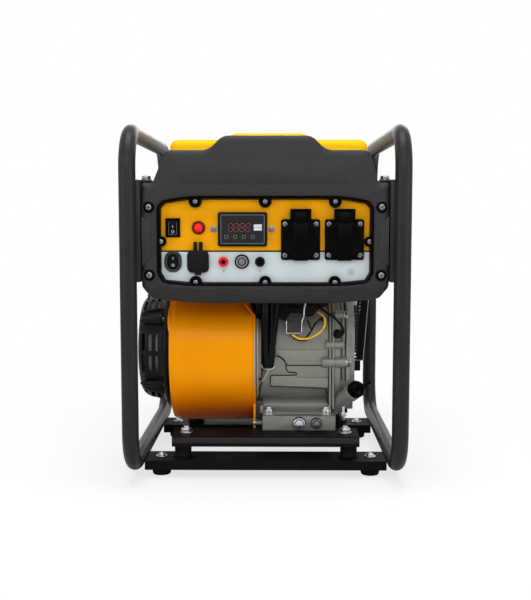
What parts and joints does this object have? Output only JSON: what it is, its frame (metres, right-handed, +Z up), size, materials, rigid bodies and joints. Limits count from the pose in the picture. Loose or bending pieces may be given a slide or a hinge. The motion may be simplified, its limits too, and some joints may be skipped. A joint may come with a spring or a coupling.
{
  "type": "portable generator",
  "caption": "Open-frame portable inverter generator: tube side loops, fuel tank over a control panel, fan-cooled alternator and petrol engine on rubber mounts.",
  "frame": {"origin": "on the floor, in the middle between the two side loops and half way between their front and rear uprights", "axes": "+X to the operator's right, +Y from the control panel to the rear, +Z up"},
  "size_m": [0.374, 0.432, 0.477],
  "materials": {
    "frame_black": "satin black powder coat",
    "black_plastic": "moulded, lightly grained",
    "rubber": "matt moulded rubber",
    "gloss_black": "polished moulding",
    "amber_paint": "semi-gloss paint on pressed steel",
    "yellow_plastic": "semi-gloss paint on pressed steel",
    "panel_yellow": "printed sheet, yellow over light grey",
    "cast_aluminium": "as cast, shot-blasted",
    "steel": "zinc plated or machined",
    "winding": "lacquered copper winding on a steel core",
    "red_plastic": "clear moulded"
  },
  "bodies": {
    "generator": {"crankcase": "cast_aluminium", "crankcase_cover": "cast_aluminium", "cylinder_head": "cast_aluminium", "valve_cover": "steel", "spark_plug": "steel", "fan_shroud": "amber_paint", "stator": "winding", "recoil_cover": "black_plastic", "control_panel": "panel_yellow", "engine_switch": "black_plastic", "eco_switch": "black_plastic", "warning_lamp": "red_plastic", "meter": "black_plastic", "outlet_left": "gloss_black", "outlet_right": "gloss_black", "usb_port": "black_plastic", "terminal_board": "black_plastic", "breaker": "black_plastic", "side_loop_left": "frame_black", "side_loop_right": "frame_black", "base_channel_front": "frame_black", "foot_front_left": "rubber", "foot_front_right": "rubber", "base_channel_rear": "frame_black", "foot_rear_left": "rubber", "foot_rear_right": "rubber", "engine_cradle": "frame_black", "isolator_front_left": "rubber", "isolator_front_right": "rubber", "isolator_rear_left": "rubber", "isolator_rear_right": "rubber", "muffler": "steel", "muffler_guard": "frame_black", "carburettor": "cast_aluminium", "air_filter": "black_plastic", "fuel_tank": "yellow_plastic", "fuel_tap": "cast_aluminium", "fuel_hose": "rubber", "rear_cross_member": "frame_black", "fascia": "black_plastic", "control_housing": "black_plastic", "inverter_module": "cast_aluminium", "wiring_harness": "rubber"},
    "engine_switch_rocker": {"engine_switch_rocker": "black_plastic"},
    "eco_switch_rocker": {"eco_switch_rocker": "black_plastic"},
    "outlet_lid_left": {"outlet_lid_left": "gloss_black"},
    "outlet_lid_right": {"outlet_lid_right": "gloss_black"},
    "usb_cover": {"usb_cover": "rubber"},
    "terminal_knob_red": {"terminal_knob_red": "red_plastic"},
    "terminal_knob_black": {"terminal_knob_black": "black_plastic"},
    "breaker_button": {"breaker_button": "steel"},
    "crankshaft": {"crankshaft": "steel", "rotor": "steel"},
    "piston": {"piston": "cast_aluminium"},
    "starter_reel": {"starter_reel": "black_plastic"},
    "starter_grip": {"starter_grip": "rubber"},
    "oil_filler_cap": {"oil_filler_cap": "rubber"},
    "fuel_cap": {"fuel_cap": "black_plastic"},
    "choke_lever": {"choke_lever": "black_plastic"},
    "fuel_tap_lever": {"fuel_tap_lever": "red_plastic"}
  },
  "joints": [
    {"name": "engine_switch_rock", "type": "hinge", "parent": "generator", "child": "engine_switch_rocker", "pos_m": [-0.1193, -0.1905, 0.3417], "axis": [1, 0, 0], "range_deg": [-9, 0]},
    {"name": "eco_switch_rock", "type": "hinge", "parent": "generator", "child": "eco_switch_rocker", "pos_m": [-0.1193, -0.1905, 0.298], "axis": [1, 0, 0], "range_deg": [-9, 0]},
    {"name": "outlet_lid_left_lift", "type": "hinge", "parent": "generator", "child": "outlet_lid_left", "pos_m": [0.0455, -0.201, 0.359], "axis": [1, 0, 0], "range_deg": [-110, 0], "stiffness_Nm_per_rad": 0.02, "springref_deg": 17.19},
    {"name": "outlet_lid_right_lift", "type": "hinge", "parent": "generator", "child": "outlet_lid_right", "pos_m": [0.102, -0.201, 0.359], "axis": [1, 0, 0], "range_deg": [-110, 0], "stiffness_Nm_per_rad": 0.02, "springref_deg": 17.19},
    {"name": "usb_cover_lift", "type": "hinge", "parent": "generator", "child": "usb_cover", "pos_m": [-0.0868, -0.1952, 0.3225], "axis": [1, 0, 0], "range_deg": [-100, 0], "stiffness_Nm_per_rad": 0.01, "springref_deg": 11.46},
    {"name": "terminal_knob_red_turn", "type": "hinge", "parent": "generator", "child": "terminal_knob_red", "pos_m": [-0.0539, -0.192, 0.298], "axis": [0, -1, 0], "range_deg": [0, 720]},
    {"name": "terminal_knob_black_turn", "type": "hinge", "parent": "generator", "child": "terminal_knob_black", "pos_m": [-0.0067, -0.192, 0.298], "axis": [0, -1, 0], "range_deg": [0, 720]},
    {"name": "breaker_button_push", "type": "slide", "parent": "generator", "child": "breaker_button", "axis": [0, 1, 0], "range_m": [0, 0.003], "stiffness_N_per_m": 300, "springref_m": -0.003},
    {"name": "crankshaft_spin", "type": "hinge", "parent": "generator", "child": "crankshaft", "pos_m": [0, -0.02, 0.163], "axis": [1, 0, 0], "continuous": true},
    {"name": "piston_stroke", "type": "slide", "parent": "generator", "child": "piston", "axis": [0, -0.9063, -0.4226], "range_m": [0, 0.04]},
    {"name": "starter_reel_turn", "type": "hinge", "parent": "generator", "child": "starter_reel", "pos_m": [0, -0.02, 0.163], "axis": [-1, 0, 0], "range_deg": [0, 955], "stiffness_Nm_per_rad": 0.03, "springref_deg": -229.18},
    {"name": "starter_grip_pull", "type": "slide", "parent": "generator", "child": "starter_grip", "axis": [0, 1, 0], "range_m": [0, 0.62]},
    {"name": "oil_filler_cap_lift", "type": "slide", "parent": "generator", "child": "oil_filler_cap", "axis": [0.5621, -0.6337, 0.5315], "range_m": [0, 0.06]},
    {"name": "fuel_cap_lift", "type": "slide", "parent": "generator", "child": "fuel_cap", "axis": [0, 0, 1], "range_m": [0, 0.04]},
    {"name": "choke_lever_turn", "type": "hinge", "parent": "generator", "child": "choke_lever", "pos_m": [-0.0243, 0.11781, 0.21216], "axis": [0, 1, 0], "range_deg": [0, 45]},
    {"name": "fuel_tap_lever_turn", "type": "hinge", "parent": "generator", "child": "fuel_tap_lever", "pos_m": [-0.0983, 0.04, 0.375], "axis": [1, 0, 0], "range_deg": [0, 90]}
  ],
  "couplings": [
    {"joint": "starter_grip_pull", "follows": "starter_reel_turn", "m_per_rad": 0.036}
  ]
}
